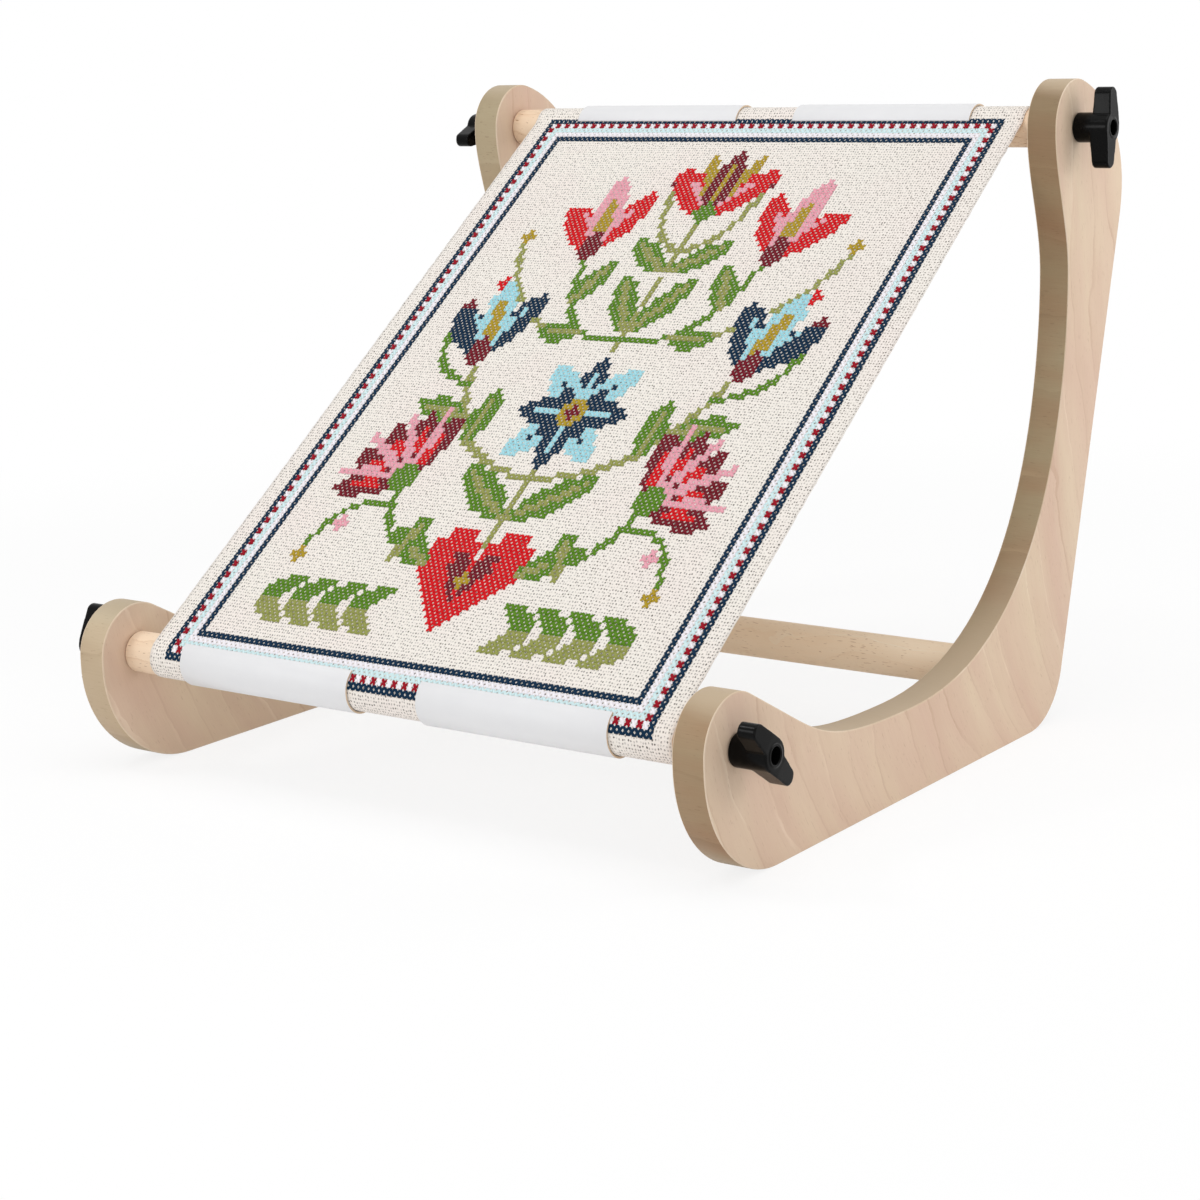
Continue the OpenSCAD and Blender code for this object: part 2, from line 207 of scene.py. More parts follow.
def sawn_edge(name, tones, across_grain_and_painted_light):
    """Beech edge as it left the saw: darker along the grain, and paler and greyer where it faces
    up or down and cuts across the grain, as end grain and partly as painted light and shade from
    above.
    Painted shade by height leaves it palest in the middle of the stem, and darkest in the head."""
    made = beech(name, tones, "#8a7052", "#7c6349", 44, 0.3, 0.3)
    tree, shader = made.node_tree, made.node_tree.nodes["Principled BSDF"]
    # Painted shade by height: a ramp darkens the edge a little towards the foot and most towards
    # the head, and leaves the middle of the stem palest.
    where = add(tree, "ShaderNodeTexCoord", {}).outputs["Object"]
    height_for_painted_shade = add(tree, "ShaderNodeSeparateXYZ", {"Vector": where})
    share = add(tree, "ShaderNodeMapRange", {"Value": height_for_painted_shade.outputs["Z"],
                                             "From Max": panel_high})
    shade = add(tree, "ShaderNodeValToRGB", {0: share.outputs[0]})
    painted_shade_stops = shade.color_ramp.elements
    painted_shade_stops[0].color, painted_shade_stops[1].color = linear("#e6d6cf"), linear("#cdc6bb")
    for height, tone in ((0.20, "#eee2dc"), (0.32, "#ffffff"), (0.58, "#ffffff"),
                         (0.70, "#eee4dd"), (0.82, "#e6dcd3")):
        painted_shade_stops.new(height).color = linear(tone)
    along = add(tree, "ShaderNodeMix",
                {0: 1, 6: shader.inputs["Base Color"].links[0].from_socket,
                 7: shade.outputs["Color"]}, data_type="RGBA", blend_type="MULTIPLY").outputs[2]
    # Painted light and shade by facing: where the edge faces up or down it takes its own tone,
    # partly for the end grain there and partly for how the light from above falls on it.
    surface = add(tree, "ShaderNodeTexCoord", {}).outputs["Normal"]
    facing_for_painted_light = add(tree, "ShaderNodeSeparateXYZ", {"Vector": surface})
    either = add(tree, "ShaderNodeMath", {0: facing_for_painted_light.outputs["Z"]}, operation="ABSOLUTE")
    across = add(tree, "ShaderNodeMapRange", {"Value": either.outputs[0], "From Min": 0.6,
                                              "From Max": 1}, interpolation_type="SMOOTHSTEP")
    both = add(tree, "ShaderNodeMix", {0: across.outputs[0], 6: along, 7: linear(across_grain_and_painted_light)},
               data_type="RGBA")
    tree.links.new(both.outputs[2], shader.inputs["Base Color"])
    return made


# The left panel's edges are painted paler than the right's: painted light, as more light falls on
# them.
panel_edges = {"left": sawn_edge("Beech, sawn edge, painted light", ("#d1c8ac", "#c7b89c"), "#b6a58b"),
               "right": sawn_edge("Beech, sawn edge", ("#aa9e7f", "#a58768"), "#bba78c")}


# Corners closer than a thousandth of a millimetre are one corner.
same_point = 1e-6


def merged_copy(node):
    """A copy of a CAD node's mesh, with its doubled corners merged."""
    bm = bmesh.new()
    bm.from_mesh(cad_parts[node].data)
    bmesh.ops.remove_doubles(bm, verts=bm.verts, dist=same_point)
    bmesh.ops.dissolve_limit(bm, angle_limit=math.radians(0.2), verts=bm.verts, edges=bm.edges)
    return bm


def finish_piece(bm, name, materials, body, slot, *nodes):
    """Turns a bmesh into an object that rides on a body and stands for its CAD nodes."""
    mesh = bpy.data.meshes.new(name)
    bm.to_mesh(mesh)
    bm.free()
    piece = bpy.data.objects.new(name, mesh)
    bpy.context.scene.collection.objects.link(piece)
    for made in materials:
        mesh.materials.append(made)
    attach(piece, body)
    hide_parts(*nodes)
    return piece


def ease_edges(piece, width, segments, material=-1):
    """Rounds the sharp edges, with the shading of the flat faces kept flat."""
    piece.data.shade_smooth()
    rounding = piece.modifiers.new("eased edges", "BEVEL")
    rounding.width = width
    rounding.segments = segments
    rounding.limit_method = "ANGLE"
    rounding.angle_limit = math.radians(35)
    rounding.harden_normals = True
    rounding.material = material


for side in ("left", "right"):
    bm = merged_copy(f"{side}_side_panel")
    for face in bm.faces:
        face.material_index = 0 if abs(face.normal.x) > 0.5 else 1
    panel = finish_piece(bm, f"{side}_panel", [panel_face, panel_edges[side], panel_arris],
                         "stand", "side_panel_beech", f"{side}_side_panel")
    ease_edges(panel, 0.0007, 3, material=2)


# Dowels: three turned beech rods of 22 mm stock. Two roll between the panels, and the third
# is glued into blind sockets. They are paler and warmer than the panels, with more ray flecks.
# The third is painted palest, as painted light that lifts the shade it lies in under the cloth.
dowel_wood = beech("Beech, turned dowel", ("#f1dac0", "#e7cdb0"), "#c9a37c", "#a17650", 9, 0.4,
                   0.8)
# The stretcher's paler tones are painted light for the shade under the cloth.
stretcher_wood_painted_light = beech("Beech, turned dowel, painted light", ("#fde8cc", "#f8dcbb"), "#e6c49e", "#bd926a",
                       9, 0.4, 0.55)
for name, body in (("stretcher", "stand"), ("front_roller", "front_roller_body"),
                   ("top_roller", "top_roller_body")):
    bm = merged_copy(name)
    wood = stretcher_wood_painted_light if name == "stretcher" else dowel_wood
    dowel = finish_piece(bm, f"{name}_dowel", [wood], body, "dowel_beech", name)
    ease_edges(dowel, 0.0004, 2)


# Studs: lengths of M6 threaded rod with a yellow zinc finish, screwed into the rollers' ends and
# turned with them. Only their ends show, deep in the knobs.
def metal(name, colour, shade, roughness):
    """Bare or plated metal, a little uneven, with a dull film in patches of about 3 mm."""
    made, tree, shader, where = start_material(name)
    film = add(tree, "ShaderNodeTexNoise", {"Vector": where, "Scale": 330, "Detail": 3})
    tone = add(tree, "ShaderNodeMix", {0: film.outputs["Fac"], 6: linear(colour),
                                       7: linear(shade)}, data_type="RGBA")
    tree.links.new(tone.outputs[2], shader.inputs["Base Color"])
    dull = add(tree, "ShaderNodeMapRange", {"Value": film.outputs["Fac"],
                                            "To Min": roughness - 0.08,
                                            "To Max": roughness + 0.10})
    tree.links.new(dull.outputs[0], shader.inputs["Roughness"])
    shader.inputs["Metallic"].default_value = 1
    return made


def threaded_rod(low, high):
    """A right-hand M6 thread of 1 mm pitch between two corners, cut flat at both ends."""
    centre = (low + high) / 2
    pitch, crest, root, steps = 0.001, 0.003, 0.00247, 16
    bm = bmesh.new()
    # The thread starts two turns before the rod and ends past it, and is then cut to length.
    turns = round((high.x - low.x) / pitch) + 3
    line = [bm.verts.new((low.x + (turn - 2 + share) * pitch, centre.y, centre.z + radius))
            for turn in range(turns)
            for share, radius in ((0, root), (0.2, root), (0.5, crest), (0.65, crest))]
    edges = [bm.edges.new(pair) for pair in zip(line, line[1:])]
    # One full turn moves the line on by one pitch, where it meets itself again.
    bmesh.ops.spin(bm, geom=line + edges, cent=centre, axis=(1, 0, 0), angle=math.tau,
                   steps=steps, dvec=(pitch / steps, 0, 0))
    bmesh.ops.remove_doubles(bm, verts=bm.verts, dist=same_point)
    for end, way in ((low, -1), (high, 1)):
        bmesh.ops.bisect_plane(bm, geom=bm.verts[:] + bm.edges[:] + bm.faces[:], dist=1e-7,
                               plane_co=end, plane_no=(way, 0, 0), clear_outer=True)
    bmesh.ops.holes_fill(bm, edges=[edge for edge in bm.edges if edge.is_boundary])
    bmesh.ops.recalc_face_normals(bm, faces=bm.faces)
    return bm


zinc_yellow = metal("Steel, yellow zinc plated", "#b79a5c", "#8d7743", 0.36)
brass = metal("Brass, turned", "#d9b263", "#b98f45", 0.28)
corners = [(row, side) for row in ("front", "top") for side in ("left", "right")]
for row, side in corners:
    finish_piece(threaded_rod(*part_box(f"{row}_{side}_stud")), f"{row}_{side}_rod", [zinc_yellow],
                 f"{row}_roller_body", "stud_metal", f"{row}_{side}_stud")
    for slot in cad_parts[f"{row}_{side}_insert"].material_slots:
        slot.material = brass


# Wing knobs: black nylon, moulded round a brass bush. The mould leaves a fine even grain, soft
# edges and a thin raised rim round the hole.
def moulded(name, colour, roughness, gloss, grain_mm):
    """Moulded plastic. The mould's grain is about 0.1 mm, too fine to show, so it is drawn as
    coarse as grain_mm. Handling has polished it in patches of about 11 mm."""
    made, tree, shader, where = start_material(name)
    cells = add(tree, "ShaderNodeTexNoise", {"Vector": where, "Scale": 1000 / grain_mm,
                                             "Detail": 2})
    wear = add(tree, "ShaderNodeTexNoise", {"Vector": where, "Scale": 90, "Detail": 2})
    sheen = add(tree, "ShaderNodeMapRange", {"Value": wear.outputs["Fac"],
                                             "To Min": roughness - 0.06,
                                             "To Max": roughness + 0.08})
    tree.links.new(sheen.outputs[0], shader.inputs["Roughness"])
    tint = add(tree, "ShaderNodeMix", {0: wear.outputs["Fac"], 6: linear(colour[0]),
                                       7: linear(colour[1])}, data_type="RGBA")
    tree.links.new(tint.outputs[2], shader.inputs["Base Color"])
    bump = add(tree, "ShaderNodeBump", {"Height": cells.outputs["Fac"], "Strength": 0.12,
                                        "Distance": 0.00005})
    tree.links.new(bump.outputs[0], shader.inputs["Normal"])
    shader.inputs["IOR"].default_value = 1.49
    shader.inputs["Specular IOR Level"].default_value = gloss
    return made


black_nylon = moulded("Nylon, black and moulded", ("#050505", "#090909"), 0.19, 0.08, 0.6)
for row, side in corners:
    knob = finish_piece(merged_copy(f"{row}_{side}_knob"), f"{row}_{side}_wing_knob",
                        [black_nylon], f"{row}_{side}_knob_body", "knob_plastic",
                        f"{row}_{side}_knob")
    knob.data.shade_smooth()
    even = knob.modifiers.new("even mesh", "REMESH")
    even.mode = "VOXEL"
    even.voxel_size = 0.00035
    even.use_smooth_shade = True
    soft = knob.modifiers.new("moulded edges", "SMOOTH")
    soft.factor = 0.5
    soft.iterations = 8


# Cloth: an evenweave of unbleached linen and cotton, stretched between the rollers and turned
# round them under the clips. It is cut flat, embroidered flat and then laid on the frame.
# The needle holes that stand open in it are 1.68 mm apart across the cloth and 2.04 mm up it.
cloth_wide, cloth_long, cloth_thick = 0.334, 0.5124, 0.0005
cloth_shift = 0.005
hole_wide_mm, hole_long_mm = 1.6765, 2.039
under_front, under_top = 0.03467, 0.04354
span = cloth_long - under_front - under_top
roller_radius, gap = 0.011, 0.0003
wrap_radius = roller_radius + gap + cloth_thick / 2
clip_room, give = 0.00055, 0.00035


def axis_of(roller):
    """The middle of a roller, seen from its end."""
    low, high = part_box(roller)
    return Vector((0, (low.y + high.y) / 2, (low.z + high.z) / 2))


def heading(angle):
    """The way that points back from the front, and that many radians up."""
    return Vector((0, math.cos(angle), math.sin(angle)))


# The cloth leaves the front roller as a tangent, and meets the top roller at a set angle.
front_axis, top_axis = axis_of("front_roller"), axis_of("top_roller")
top_turn = math.radians(160)
reach = top_axis + wrap_radius * heading(top_turn) - front_axis
slope = math.atan2(reach.z, reach.y) - math.asin(wrap_radius / reach.length)
front_turn = slope + math.pi / 2


def on_frame(point):
    """Where a point of the flat cloth lies once the cloth is on the frame. The point's X runs
    across the cloth, its Y up the slope from the front roller, and its Z out of the cloth."""
    across, along, height = point
    if along <= 0:
        axis, angle = front_axis, front_turn - along / wrap_radius
    elif along >= span:
        axis, angle = top_axis, top_turn - (along - span) / wrap_radius
    else:
        foot = front_axis + wrap_radius * heading(front_turn)
        return (Vector((across, 0, 0)) + foot + along * heading(slope)
                + height * heading(front_turn))
    # Round the rollers the stitches are pressed down into the room under the clips.
    pressed = clip_room * (1 - math.exp(-height / give))
    return Vector((across, 0, 0)) + axis + (wrap_radius + pressed) * heading(angle)


def ripple(point):
    """The stretched cloth isn't quite flat: low waves run up the slope between the clips."""
    rise = math.sin(math.pi * min(max(point.y / span, 0), 1))
    wave = noise.noise(Vector((point.x * 26, point.y * 5, 0.3)))
    return 0.0011 * rise * wave


bm = bmesh.new()
bmesh.ops.create_grid(bm, x_segments=110, y_segments=170, size=0.5)
bmesh.ops.scale(bm, vec=(cloth_wide, cloth_long, 1), verts=bm.verts)
bmesh.ops.translate(bm, vec=(cloth_shift, cloth_long / 2 - under_front, 0), verts=bm.verts)
weave_map = bm.loops.layers.uv.new("flat cloth")
for face in bm.faces:
    for loop in face.loops:
        loop[weave_map].uv = loop.vert.co.xy * 10
for vert in bm.verts:
    # The cut edges have frayed by up to 0.4 mm, about every 5 mm.
    side = (vert.co.x - cloth_shift) / (cloth_wide / 2)
    if abs(side) > 0.99:
        vert.co.x += 0.0004 * noise.noise(Vector((side * 7, vert.co.y * 190, 0)))
    vert.co.z += ripple(vert.co)
    vert.co = on_frame(vert.co)
mesh = bpy.data.meshes.new("cloth_sheet")
bm.to_mesh(mesh)
bm.free()
cloth = bpy.data.objects.new("cloth_sheet", mesh)
bpy.context.scene.collection.objects.link(cloth)
mesh.shade_smooth()
body_of_cloth = cloth.modifiers.new("thickness", "SOLIDIFY")
body_of_cloth.thickness = cloth_thick
body_of_cloth.offset = 0

# Linen and cotton in an even plain weave. The needle holes show as small dots of painted shade
# between pale slubby threads. The cloth's map runs in decimetres. The holes stray a little from
# their rows over 2.5 mm, a slub is 8 mm long and 0.7 mm thick, and the linen warms in patches of
# 55 mm.
linen, tree, shader, flat = start_material("Linen and cotton evenweave", "UV")
holes = add(tree, "ShaderNodeMapping", {"Vector": flat, "Location": (-0.199, 0.358, 0),
                                        "Scale": (100 / hole_wide_mm, 100 / hole_long_mm, 1)})
wander = add(tree, "ShaderNodeTexNoise", {"Vector": flat, "Scale": 40, "Detail": 2})
loose = add(tree, "ShaderNodeVectorMath",
            {0: wander.outputs["Color"], 1: (0.5, 0.5, 0), 2: holes.outputs[0]},
            operation="MULTIPLY_ADD")
hole = add(tree, "ShaderNodeTexVoronoi", {"Vector": loose.outputs[0], "Scale": 1,
                                          "Randomness": 0.35}, voronoi_dimensions="2D")
hole_shade = add(tree, "ShaderNodeMapRange", {"Value": hole.outputs["Distance"], "From Min": 0.16,
                                       "From Max": 0.36, "To Min": 1, "To Max": 0},
          interpolation_type="SMOOTHSTEP")
# Some holes are pulled wide open, and others are nearly closed.
strength = add(tree, "ShaderNodeTexNoise", {"Vector": holes.outputs[0], "Scale": 0.9})
deep = add(tree, "ShaderNodeMapRange", {"Value": strength.outputs["Fac"], "From Min": 0.38,
                                        "From Max": 0.64, "To Min": 0.15, "To Max": 1})
shown = add(tree, "ShaderNodeMath", {0: hole_shade.outputs[0], 1: deep.outputs[0]}, operation="MULTIPLY")
slub = add(tree, "ShaderNodeMapping", {"Vector": flat, "Scale": (12, 140, 1)})
weft = add(tree, "ShaderNodeTexNoise", {"Vector": slub.outputs[0], "Scale": 1, "Detail": 3})
thread = add(tree, "ShaderNodeMix", {0: weft.outputs["Fac"], 6: linear("#f4efe8"),
                                     7: linear("#e6dfd6")}, data_type="RGBA")
blush = add(tree, "ShaderNodeTexNoise", {"Vector": flat, "Scale": 1.8, "Detail": 2})
tinted = add(tree, "ShaderNodeMapRange", {"Value": blush.outputs["Fac"], "From Min": 0.42,
                                          "From Max": 0.68, "To Min": 0, "To Max": 0.3})
warm = add(tree, "ShaderNodeMix", {0: tinted.outputs[0], 6: thread.outputs[2],
                                   7: linear("#efdfdb")}, data_type="RGBA")
# The needle holes are painted dark brown: painted shade, for the shaded space seen through them.
woven = add(tree, "ShaderNodeMix", {0: shown.outputs[0], 6: warm.outputs[2],
                                    7: linear("#463e37")}, data_type="RGBA")
tree.links.new(woven.outputs[2], shader.inputs["Base Color"])
depth = add(tree, "ShaderNodeMath", {0: hole_shade.outputs[0], 1: -1, 2: weft.outputs["Fac"]},
            operation="MULTIPLY_ADD")
raised = add(tree, "ShaderNodeBump", {"Height": depth.outputs[0], "Strength": 0.6,
                                      "Distance": 0.0002})
tree.links.new(raised.outputs[0], shader.inputs["Normal"])
shader.inputs["Roughness"].default_value = 0.85
shader.inputs["Specular IOR Level"].default_value = 0.2
shader.inputs["Sheen Weight"].default_value = 0.15
mesh.materials.append(linen)


# Embroidery: stranded cotton in cross-stitch, each cross over two holes of the cloth each way.
# A border of traditional lines and crosses frames a plain folk pattern of stems and flowers.
columns, rows = 93, 109
cell_wide, cell_long = 2 * hole_wide_mm / 1000, 2 * hole_long_mm / 1000
border_left, border_foot = -0.149, -0.007
stitches = {}


def sew(column, row, thread):
    """One cross on the chart, and its twin on the other side of the middle."""
    column, row = round(column), round(row)
    stitches[(column, row)] = thread
    stitches[(columns - 1 - column, row)] = thread


def border_line(inset, *threads):
    """A ring of crosses that far in from the edge, with the threads taken in turn."""
    for row in range(inset, rows - inset):
        sew(inset, row, threads[row % len(threads)])
    for column in range(inset, (columns + 1) // 2):
        for row in (inset, rows - 1 - inset):
            sew(column, row, threads[column % len(threads)])


def petal(column, row, turn, length, width, thread, blunt=1.0):
    """A leaf or petal from its base point, turned from upright. Blunt below 1 fills it out."""
    ahead = Vector((math.sin(math.radians(turn)), math.cos(math.radians(turn))))
    reach = int(length + width) + 1
    for i in range(-reach, reach + 1):
        for j in range(-reach, reach + 1):
            along = i * ahead.x + j * ahead.y
            across = i * ahead.y - j * ahead.x
            share = (along + 0.4) / (length + 0.8)
            if 0 < share < 1 and abs(across) <= width / 2 * math.sin(math.pi * share) ** blunt:
                sew(column + i, row + j, thread)


def stem(thread, *bends):
    """A curved stem through a start, a bend and an end."""
    start, bend, end = (Vector(b) for b in bends)
    steps = 60
    for i in range(steps + 1):
        t = i / steps
        at = (1 - t) ** 2 * start + 2 * t * (1 - t) * bend + t * t * end
        sew(at.x, at.y, thread)


def berry(column, row, radius, thread):
    """A round spot of crosses."""
    reach = int(radius) + 1
    for i in range(-reach, reach + 1):
        for j in range(-reach, reach + 1):
            if i * i + j * j <= radius * radius + 0.3:
                sew(column + i, row + j, thread)


def leaf(column, row, turn, length, width):
    """A green leaf with a paler vein."""
    petal(column, row, turn, length, width, "green", 0.6)
    petal(column, row, turn, length - 1.5, 1.5, "olive", 0.3)


# The border: two navy lines, a row of crimson crosses on white, and a pale blue line.
border_line(0, "navy")
border_line(1, "crimson", "white")
border_line(2, "pale blue")
border_line(3, "white")
border_line(4, "navy")

# Two leafy bars at the foot, then the stems and tendrils with a berry at each tip.
middle = (columns - 1) / 2
for column in range(11, 34, 6):
    petal(column, 12, 62, 6.5, 3.4, "green", 0.6)
    petal(column, 11, 118, 6.5, 3.4, "olive", 0.6)
stem("olive", (middle, 24), (middle, 50), (middle, 88))
stem("green", (middle - 2, 24), (middle - 21, 17), (middle - 24, 34))
stem("olive", (middle, 36), (middle - 20, 37), (middle - 26, 57))
stem("green", (middle, 62), (middle - 15, 60), (middle - 18, 79))
stem("green", (middle - 23, 29), (middle - 33, 30), (middle - 34, 20))
stem("green", (middle - 24, 52), (middle - 36, 54), (middle - 35, 66))
stem("olive", (middle - 13, 62), (middle - 29, 68), (middle - 33, 81))
stem("olive", (middle, 80), (middle - 8, 82), (middle - 9, 93))
for column, row, thread in ((-34, 19, "mustard"), (-30, 25, "pink"), (-35, 67, "dark red"),
                            (-31, 72, "red"), (-33, 82, "mustard"), (-9, 94, "dark red")):
    berry(middle + column, row, 1.2, thread)

# The stem grows from a heart: two round shoulders that taper to its tip, one inside the other.
for i in range(12):
    berry(middle - 5.2 + 0.43 * i, 21.5 - 0.92 * i, 4.9 - 0.36 * i, "red")
for i in range(7):
    berry(middle - 2.6 + 0.4 * i, 20.5 - 0.9 * i, 1.7 - 0.2 * i, "dark red")
berry(middle, 18, 1.2, "mustard")
for column, row, turn, length, width in ((-9, 20, -62, 10, 4.4), (-16, 20, 18, 8, 4.0),
                                         (-1, 29, -56, 14, 5.4), (-21, 46, -80, 10, 4.4),
                                         (-17, 41, 2, 10, 4.6), (-1, 64, -30, 12, 4.8),
                                         (-9, 63, -92, 8, 4.0), (-15, 69, 24, 9, 4.2),
                                         (-1, 76, -56, 10, 4.4)):
    leaf(middle + column, row, turn, length, width)

# Star flower in two blues about a gold eye.
for turn in range(0, 360, 90):
    petal(middle, 48, turn + 45, 12, 5.4, "light blue", 0.9)
    petal(middle, 48, turn, 10, 5.4, "navy", 0.9)
for turn in range(0, 360, 90):
    petal(middle, 48, turn + 45, 7, 1.8, "navy", 0.5)
    petal(middle, 48, turn, 7, 1.8, "light blue", 0.5)
berry(middle, 48, 2.5, "mustard")
berry(middle, 48, 1, "dark red")

# Pinks: fans of red petals with pale teeth between them, low on either side.
for turn in (-104, -74, -44, -14, 16):
    petal(middle - 24, 34, turn, 12, 4.8, "dark red", 0.45)
    petal(middle - 24, 34, turn, 9, 2.4, "red", 0.5)
for turn in (-89, -59, -29, 1):
    petal(middle - 24, 34, turn, 13, 1.8, "pink", 0.3)
berry(middle - 24, 34, 2.2, "green")

# Tulips: two blues in the middle of the cloth, and red and pink above.
for column, row, outer, inner, lean in ((middle - 26, 58, "navy", "light blue", -14),
                                        (middle - 18, 80, "red", "pink", -12)):
    for way in (-38, 38):
        petal(column, row, lean + way, 13, 5.6, outer, 0.55)
        petal(column, row + 2, lean + way, 8, 1.4, inner, 0.55)
    petal(column, row, lean, 15, 5.6, inner, 0.55)
    petal(column, row, lean, 11, 2.6, "mustard", 0.55)
    petal(column, row - 2, lean, 5, 4, "dark red", 0.5)

# Bell flower at the top.
for turn in (-48, 48):
    petal(middle, 88, turn, 13, 6, "red", 0.55)
    petal(middle, 89, turn, 8, 1.6, "pink", 0.55)
    petal(middle, 88, turn / 2, 13.5, 2.4, "mustard", 0.5)
petal(middle, 88, 0, 13, 5, "dark red", 0.55)
petal(middle, 90, 0, 8, 1.4, "mustard", 0.55)
berry(middle, 88, 2, "green")


# A leg is as plump as six strands that fill the holes at its ends.
leg_wide, leg_high = 0.00172, 0.00078


def cross_stitch():
    """One cross, flat in its cell: two plump legs, the second laid over the first. The map on
    each leg runs across and along it in millimetres."""
    bm = bmesh.new()
    map_of_leg = bm.loops.layers.uv.new("strands")
    leg = math.hypot(cell_wide, cell_long)
    for lift, lean in ((0.0002, 1), (0.0005, -1)):
        made = bmesh.ops.create_cone(bm, cap_ends=True, segments=6, radius1=0.5, radius2=0.5,
                                     depth=0.8)
        faces = {face for vert in made["verts"] for face in vert.link_faces}
        ends = [face for face in faces if len(face.verts) == 6]
        tips = bmesh.ops.poke(bm, faces=ends, offset=0.11)
        verts = made["verts"] + tips["verts"]
        bmesh.ops.scale(bm, vec=(leg_wide, leg_high, leg), verts=verts)
        for face in {face for vert in verts for face in vert.link_faces}:
            for loop in face.loops:
                loop[map_of_leg].uv = (loop.vert.co.x * 1000, loop.vert.co.z * 1000)
        bmesh.ops.rotate(bm, verts=verts, cent=(0, 0, 0),
                         matrix=Matrix.Rotation(math.radians(-90), 3, "X"))
        bmesh.ops.rotate(bm, verts=verts, cent=(0, 0, 0),
                         matrix=Matrix.Rotation(-lean * math.atan2(cell_wide, cell_long), 3, "Z"))
        bmesh.ops.translate(bm, vec=(0, 0, lift), verts=verts)
    bmesh.ops.recalc_face_normals(bm, faces=bm.faces)
    mesh = bpy.data.meshes.new("cross")
    bm.to_mesh(mesh)
    bm.free()
    return bpy.data.objects.new("cross", mesh)


cross = cross_stitch()
bpy.context.scene.collection.objects.link(cross)
repeat = bpy.data.node_groups.new("a cross on every point", "GeometryNodeTree")
for way in ("INPUT", "OUTPUT"):
    repeat.interface.new_socket("Geometry", in_out=way, socket_type="NodeSocketGeometry")
points = add(repeat, "NodeGroupInput", {})
pattern = add(repeat, "GeometryNodeObjectInfo", {"Object": cross})
placed = add(repeat, "GeometryNodeInstanceOnPoints",
             {"Points": points.outputs[0], "Instance": pattern.outputs["Geometry"]})
real = add(repeat, "GeometryNodeRealizeInstances", {"Geometry": placed.outputs[0]})
add(repeat, "NodeGroupOutput", {0: real.outputs[0]})


def floss(name, colour, shade):
    """Stranded cotton, loosely twisted: soft, with a silky sheen along each leg. The dye is
    uneven over about a millimetre, and painted shade darkens the grooves between the strands."""
    made, tree, shader, where = start_material(f"Cotton floss, {name}", "UV")
    lie = add(tree, "ShaderNodeMapping", {"Vector": where, "Rotation": (0, 0, math.radians(24))})
    # The strands slant across the leg. They are 0.3 mm thick and are drawn a little coarser.
    strand_mm = 0.4
    strands = add(tree, "ShaderNodeTexWave",
                  {"Vector": lie.outputs[0], "Scale": wave_step / strand_mm, "Distortion": 0.5,
                   "Detail": 1}, bands_direction="X", wave_profile="SIN")
    dye = add(tree, "ShaderNodeTexNoise", {"Vector": where, "Scale": 1.1, "Detail": 2})
    # The colour turns to the darker tone where the dye is uneven and in the grooves between the
    # strands, which is painted shade.
    dye_and_groove_shade = add(tree, "ShaderNodeMath", {0: dye.outputs["Fac"], 1: strands.outputs["Fac"]},
                 operation="MULTIPLY")
    tone = add(tree, "ShaderNodeMix", {0: dye_and_groove_shade.outputs[0], 6: linear(shade),
                                       7: linear(colour)}, data_type="RGBA")
    tree.links.new(tone.outputs[2], shader.inputs["Base Color"])
    bump = add(tree, "ShaderNodeBump", {"Height": strands.outputs["Fac"], "Strength": 0.5,
                                        "Distance": 0.00012})
    tree.links.new(bump.outputs[0], shader.inputs["Normal"])
    shader.inputs["Roughness"].default_value = 0.7
    shader.inputs["Specular IOR Level"].default_value = 0.12
    return made


threads = {
    "navy": ("#0b3f5e", "#052139"), "red": ("#ee1c24", "#cc0f1a"),
    "crimson": ("#bb1029", "#8c0b1f"), "dark red": ("#8d2032", "#6a1320"),
    "light blue": ("#bfeaf0", "#9fd8e4"), "pale blue": ("#e6f6f7", "#d0ebee"),
    "white": ("#ffffff", "#f3eef5"), "green": ("#78a42c", "#4c791b"),
    "olive": ("#b2b56c", "#8c914c"), "mustard": ("#cfb43a", "#a68b24"),
    "pink": ("#f6bfca", "#e79fae"),
}
for name, (colour, shade) in threads.items():
    # The border's crimson crosses are sewn last, so their legs lie over the white ones.
    lift = 0.0002 if name == "crimson" else 0
    chart = bmesh.new()
    for (column, row), thread in sorted(stitches.items()):
        if thread == name:
            chart.verts.new((border_left + column * cell_wide, border_foot + row * cell_long,
                             lift))
    dots = bpy.data.meshes.new("chart")
    chart.to_mesh(dots)
    chart.free()
    sewn = bpy.data.objects.new("chart", dots)
    bpy.context.scene.collection.objects.link(sewn)
    sewn.modifiers.new("crosses", "NODES").node_group = repeat
    mesh = bpy.data.meshes.new_from_object(
        sewn.evaluated_get(bpy.context.evaluated_depsgraph_get()))
    bpy.data.objects.remove(sewn)
    for vert in mesh.vertices:
        vert.co.z += ripple(vert.co)
        vert.co = on_frame(vert.co)
    mesh.shade_smooth()
    mesh.materials.clear()
    mesh.materials.append(floss(name, colour, shade))
    piece = bpy.data.objects.new(f"stitches_{name.replace(' ', '_')}", mesh)
    bpy.context.scene.collection.objects.link(piece)
    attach(piece, "stand")
bpy.data.objects.remove(cross)

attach(cloth, "stand")
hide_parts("cloth")


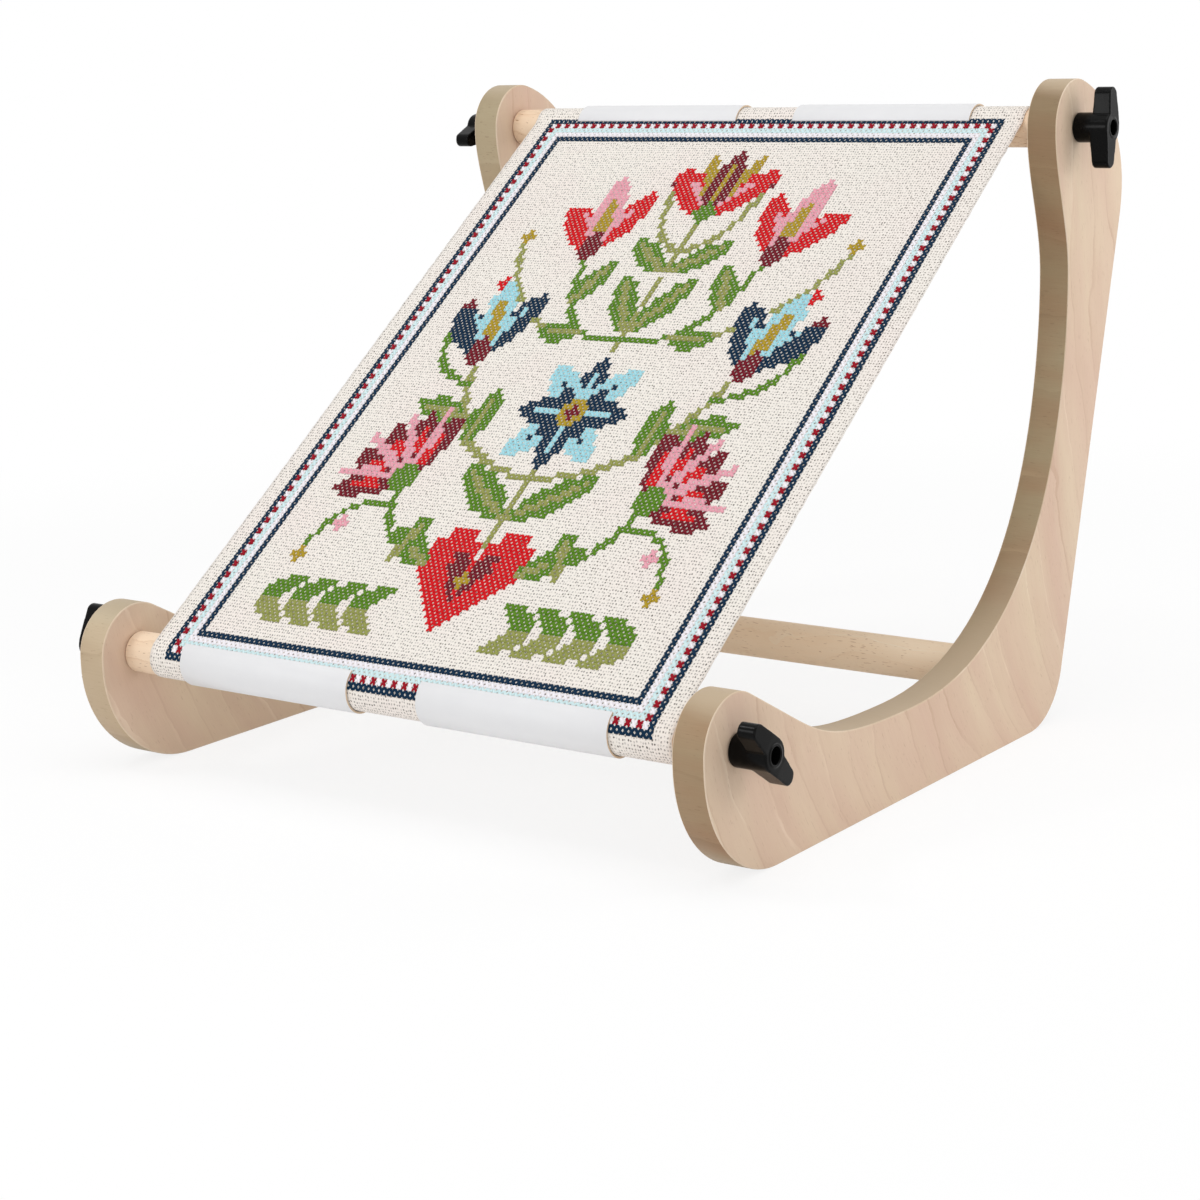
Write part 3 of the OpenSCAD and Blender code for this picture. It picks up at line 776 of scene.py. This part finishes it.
# Clips: white plastic tubes, split along their length, that snap over the cloth and hold it on
# the rollers. The lips are rounded, and the sawn ends are coloured tan.
white_plastic = moulded("Polystyrene, white and satin", ("#e3e3e4", "#dedee0"), 0.42, 0.28, 0.8)
clip_end = moulded("Polystyrene, sawn end", ("#dcc6ad", "#d3bb9f"), 0.6, 0.3, 0.5)
for row, side in corners:
    bm = merged_copy(f"{row}_{side}_clip")
    for face in bm.faces:
        face.material_index = 1 if abs(face.normal.x) > 0.9 else 0
    clip = finish_piece(bm, f"{row}_{side}_cloth_clip", [white_plastic, clip_end],
                        f"{row}_roller_body", "clip_plastic", f"{row}_{side}_clip")
    ease_edges(clip, 0.0002, 2)


# Studio: a white floor that runs out of sight, a white surround and five soft lamps. The
# floor shows white to the camera and keeps a soft shadow.
def seen_directly(tree):
    """A socket that is 1 where the camera, a reflection or a view through glass meets it."""
    ray = add(tree, "ShaderNodeLightPath", {})
    plain_or_gloss = add(tree, "ShaderNodeMath", {0: ray.outputs["Is Camera Ray"],
                                                  1: ray.outputs["Is Glossy Ray"]},
                         operation="MAXIMUM")
    return add(tree, "ShaderNodeMath", {0: plain_or_gloss.outputs[0],
                                        1: ray.outputs["Is Transmission Ray"]},
               operation="MAXIMUM").outputs[0]


floor_mesh = bpy.data.meshes.new("floor")
bm = bmesh.new()
bmesh.ops.create_grid(bm, x_segments=1, y_segments=1, size=6)
bm.to_mesh(floor_mesh)
bm.free()
floor = bpy.data.objects.new("floor", floor_mesh)
bpy.context.scene.collection.objects.link(floor)
paper = bpy.data.materials.new("White paper sweep")
paper.use_nodes = True
tree = paper.node_tree
tree.nodes.clear()
seen = seen_directly(tree)
spot = add(tree, "ShaderNodeTexCoord", {})
away = add(tree, "ShaderNodeVectorMath", {0: spot.outputs["Object"]}, operation="LENGTH")
# Near the stand the paper shows a little of its lit colour, which holds the shadow. Further out
# it is all glow.
near, far, glow_near = 0.45, 1.1, 0.82
plain = add(tree, "ShaderNodeMapRange", {"Value": away.outputs["Value"], "From Min": near,
                                         "From Max": far, "To Min": glow_near, "To Max": 1},
            interpolation_type="SMOOTHSTEP")
share = add(tree, "ShaderNodeMath", {0: seen, 1: plain.outputs[0]}, operation="MULTIPLY")
matt = add(tree, "ShaderNodeBsdfDiffuse", {"Color": linear("#fafafa")})
glow = add(tree, "ShaderNodeEmission", {"Color": (1, 1, 1, 1), "Strength": 1.0})
both = add(tree, "ShaderNodeMixShader", {0: share.outputs[0], 1: matt.outputs[0],
                                         2: glow.outputs[0]})
add(tree, "ShaderNodeOutputMaterial", {"Surface": both.outputs[0]})
floor_mesh.materials.append(paper)

world = bpy.data.worlds.new("studio")
bpy.context.scene.world = world
world.use_nodes = True
tree = world.node_tree
tree.nodes.clear()
level = add(tree, "ShaderNodeMapRange", {"Value": seen_directly(tree), "To Min": 0.5,
                                         "To Max": 1.0})
sky = add(tree, "ShaderNodeBackground", {"Color": (1, 1, 1, 1), "Strength": level.outputs[0]})
add(tree, "ShaderNodeOutputWorld", {"Surface": sky.outputs[0]})

# Each lamp has its name, place, width in metres and watts, and all of them aim at the stand.
middle_of_stand = Vector((0, 0, 0.15))
for name, place, size, watts in (("side", (1.0, 0.8, 0.5), 0.8, 4.8),
                                 ("front left", (-0.65, -1.5, 0.6), 0.5, 4),
                                 ("high left", (-0.75, -0.67, 1.5), 0.3, 3.5),
                                 ("front", (1.1, -1.5, 0.5), 0.8, 4),
                                 ("top", (0.3, -0.2, 2.2), 1.6, 16)):
    lamp = bpy.data.lights.new(name, "AREA")
    lamp.size = size
    lamp.energy = watts
    holder = bpy.data.objects.new(name, lamp)
    holder.location = place
    holder.visible_camera = False
    aim = middle_of_stand - Vector(place)
    holder.rotation_euler = aim.to_track_quat("-Z", "Y").to_euler()
    bpy.context.scene.collection.objects.link(holder)

bpy.context.scene.view_settings.view_transform = "Standard"
